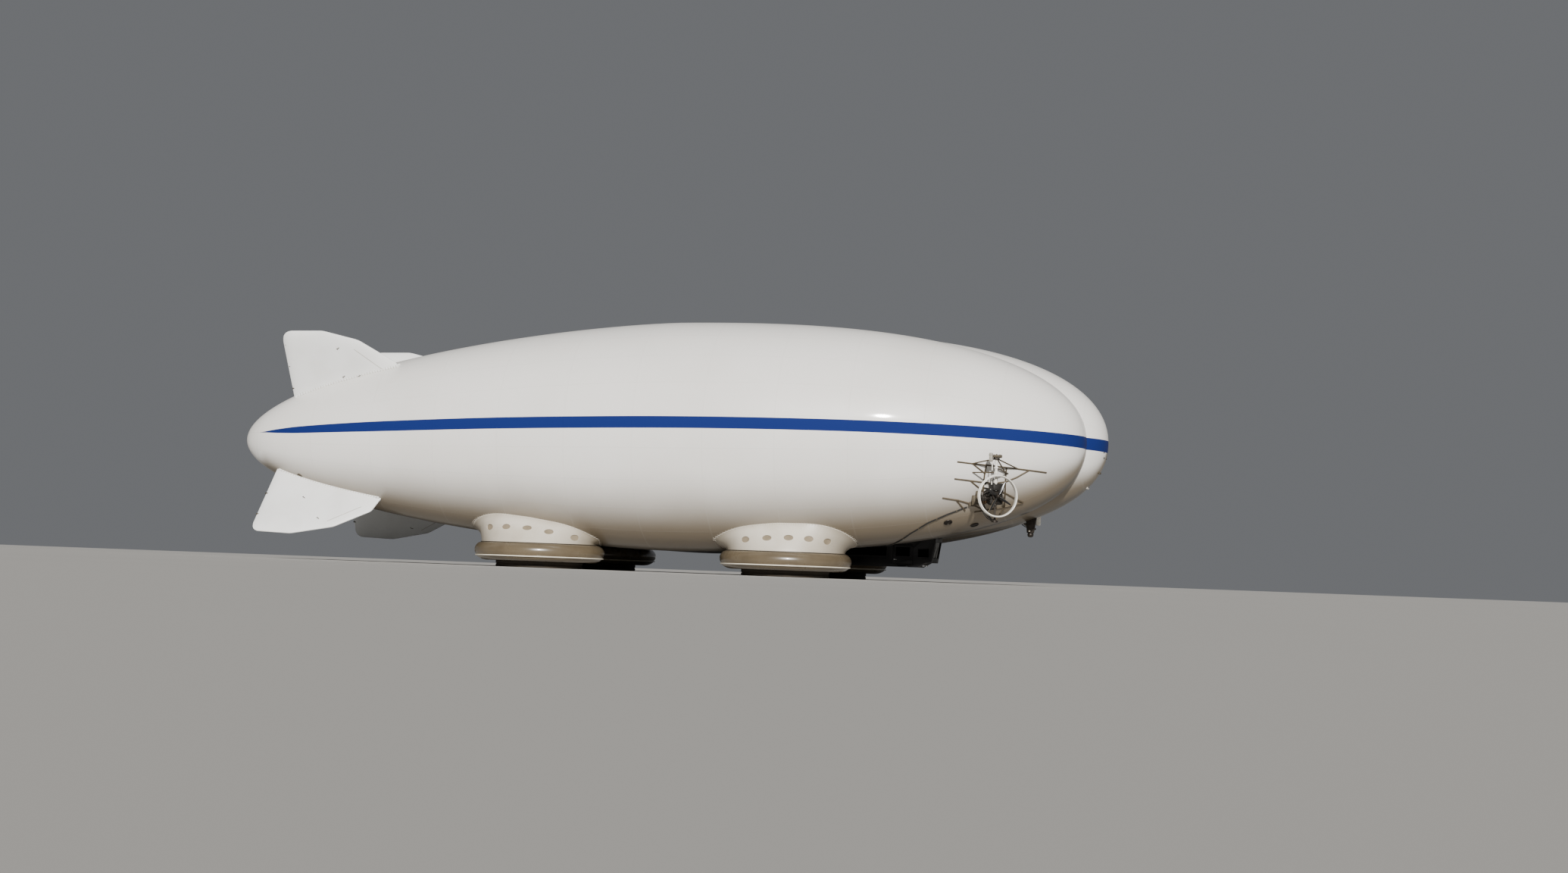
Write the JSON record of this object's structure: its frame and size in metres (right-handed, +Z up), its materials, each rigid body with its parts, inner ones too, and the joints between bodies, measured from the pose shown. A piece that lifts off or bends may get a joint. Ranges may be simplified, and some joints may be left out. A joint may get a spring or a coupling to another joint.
{
  "type": "three-lobed hybrid airship",
  "caption": "Three-lobed hybrid airship with a blue side stripe, canted tail fins, round air-cushion pads, a gondola under the middle lobe and swivelling thrusters in guard rings.",
  "frame": {"origin": "middle of the bounding box, on the floor", "axes": "+X towards the nose, +Y to port, +Z up"},
  "size_m": [36.6, 16.0546, 10.3983],
  "materials": {
    "hull_fabric": "satin",
    "fin_fabric": "satin",
    "pad_fabric": "satin",
    "pad_base": "matte",
    "gondola_paint": "satin",
    "gondola_floor": "satin",
    "glass": "gloss",
    "seat": "matte",
    "panel": "matte",
    "white_frame": "satin",
    "engine": "satin",
    "guard": "satin",
    "propeller": "satin",
    "mast": "satin",
    "lamp": "gloss",
    "duct": "matte"
  },
  "bodies": {
    "airship": {"lobe_centre": "hull_fabric", "lobe_right": "hull_fabric", "lobe_left": "hull_fabric", "fin_upper_right": "fin_fabric", "fin_lower_right": "fin_fabric", "pad_base_front_right": "pad_base", "pad_ring_front_right": "pad_fabric", "pad_fairing_front_right": "pad_fabric", "pad_base_rear_right": "pad_base", "pad_ring_rear_right": "pad_fabric", "pad_fairing_rear_right": "pad_fabric", "side_frame_right": "white_frame", "conduit_right": "duct", "gondola_seat_right": "seat", "gondola_glass_front_right": "glass", "gondola_glass_rear_right": "glass", "fin_upper_left": "fin_fabric", "fin_lower_left": "fin_fabric", "pad_base_front_left": "pad_base", "pad_ring_front_left": "pad_fabric", "pad_fairing_front_left": "pad_fabric", "pad_base_rear_left": "pad_base", "pad_ring_rear_left": "pad_fabric", "pad_fairing_rear_left": "pad_fabric", "side_frame_left": "white_frame", "conduit_left": "duct", "gondola_seat_left": "seat", "gondola_glass_front_left": "glass", "gondola_glass_rear_left": "glass", "stern_frame": "white_frame", "gondola_shell": "gondola_paint", "gondola_floor": "gondola_floor", "gondola_windscreen": "glass", "gondola_panel": "panel", "nose_mast": "mast", "nose_lamp": "lamp"},
    "gondola_door_right": {"gondola_door_right": "gondola_paint", "gondola_glass_door_right": "glass"},
    "side_thruster_right": {"side_thruster_right_engine": "engine", "side_thruster_right_guard": "guard"},
    "side_thruster_right_propeller": {"side_thruster_right_propeller": "propeller"},
    "stern_thruster_right": {"stern_thruster_right_engine": "engine", "stern_thruster_right_guard": "guard"},
    "stern_thruster_right_propeller": {"stern_thruster_right_propeller": "propeller"},
    "gondola_door_left": {"gondola_door_left": "gondola_paint", "gondola_glass_door_left": "glass"},
    "side_thruster_left": {"side_thruster_left_engine": "engine", "side_thruster_left_guard": "guard"},
    "side_thruster_left_propeller": {"side_thruster_left_propeller": "propeller"},
    "stern_thruster_left": {"stern_thruster_left_engine": "engine", "stern_thruster_left_guard": "guard"},
    "stern_thruster_left_propeller": {"stern_thruster_left_propeller": "propeller"}
  },
  "joints": [
    {"name": "side_swivel_right", "type": "hinge", "parent": "airship", "child": "side_thruster_right", "pos_m": [14.52, -6.5, 3.49], "axis": [0, 0, 1], "range_deg": [-32, 148]},
    {"name": "side_propeller_right", "type": "hinge", "parent": "side_thruster_right", "child": "side_thruster_right_propeller", "pos_m": [14.52, -6.5, 3.49], "axis": [0.5299, -0.848, 0], "continuous": true},
    {"name": "stern_swivel_right", "type": "hinge", "parent": "airship", "child": "stern_thruster_right", "pos_m": [-17.25, -0.99, 5.1], "axis": [0, 0, 1], "range_deg": [-30, 30]},
    {"name": "stern_propeller_right", "type": "hinge", "parent": "stern_thruster_right", "child": "stern_thruster_right_propeller", "pos_m": [-17.25, -0.99, 5.1], "axis": [-1, 0, 0], "continuous": true},
    {"name": "door_right", "type": "hinge", "parent": "airship", "child": "gondola_door_right", "pos_m": [10.397, -0.906, 1.1], "axis": [0, 0, 1], "range_deg": [0, 75]},
    {"name": "side_swivel_left", "type": "hinge", "parent": "airship", "child": "side_thruster_left", "pos_m": [14.52, 6.5, 3.49], "axis": [0, 0, -1], "range_deg": [-83, 97]},
    {"name": "side_propeller_left", "type": "hinge", "parent": "side_thruster_left", "child": "side_thruster_left_propeller", "pos_m": [14.52, 6.5, 3.49], "axis": [0.9925, 0.1219, 0], "continuous": true},
    {"name": "stern_swivel_left", "type": "hinge", "parent": "airship", "child": "stern_thruster_left", "pos_m": [-17.25, 0.99, 5.1], "axis": [0, 0, -1], "range_deg": [-30, 30]},
    {"name": "stern_propeller_left", "type": "hinge", "parent": "stern_thruster_left", "child": "stern_thruster_left_propeller", "pos_m": [-17.25, 0.99, 5.1], "axis": [-1, 0, 0], "continuous": true},
    {"name": "door_left", "type": "hinge", "parent": "airship", "child": "gondola_door_left", "pos_m": [10.397, 0.906, 1.1], "axis": [0, 0, -1], "range_deg": [0, 75]}
  ]
}
